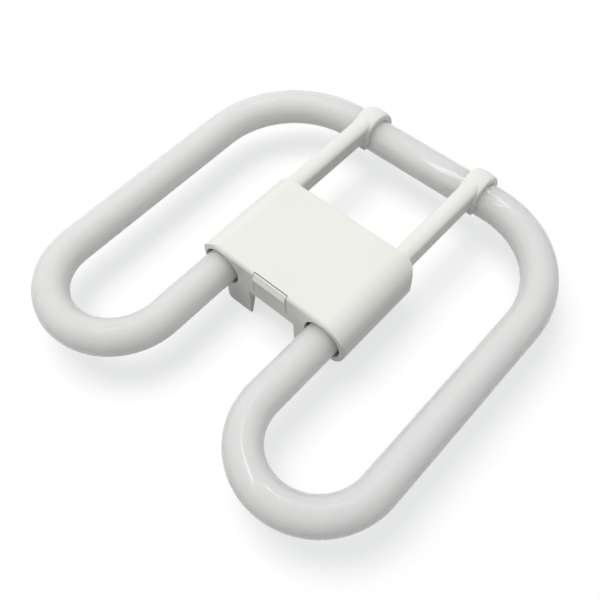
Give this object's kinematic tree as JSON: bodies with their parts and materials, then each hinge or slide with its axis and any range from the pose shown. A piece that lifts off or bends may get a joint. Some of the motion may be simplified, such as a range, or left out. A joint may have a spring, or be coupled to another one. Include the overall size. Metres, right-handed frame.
{
  "type": "square compact fluorescent lamp",
  "caption": "Flat fluorescent lamp with a white tube bent into joined D-loops, a moulded block with a recessed pin cap, and arms that clip over the far side of the tube.",
  "frame": {"origin": "on the plane of the skirt's lower edge, below the middle of the lamp's outline", "axes": "+X across both D-loops, +Y from the open ends of the legs towards the arms' hooks, +Z from the plug side to the top face of the block"},
  "size_m": [0.205, 0.2044, 0.036],
  "materials": {
    "coated_glass": "smooth clear glass over an even white coating, so it reads as opaque glossy white",
    "moulded_plastic": "white moulded plastic with a soft satin gloss",
    "cement": "matt off-white silicone cement",
    "pin_brass": "bright turned brass",
    "wire_sleeve": "matt woven sleeve over a lead wire"
  },
  "bodies": {
    "root": {"glass_tube": "coated_glass", "top_cover": "moulded_plastic", "lower_housing": "moulded_plastic", "cement_left": "cement", "cement_right": "cement", "pin_front_left": "pin_brass", "pin_front_right": "pin_brass", "pin_rear_left": "pin_brass", "pin_rear_right": "pin_brass", "lead_front_left": "wire_sleeve", "lead_front_right": "wire_sleeve", "lead_rear_left": "wire_sleeve", "lead_rear_right": "wire_sleeve"}
  },
  "joints": []
}
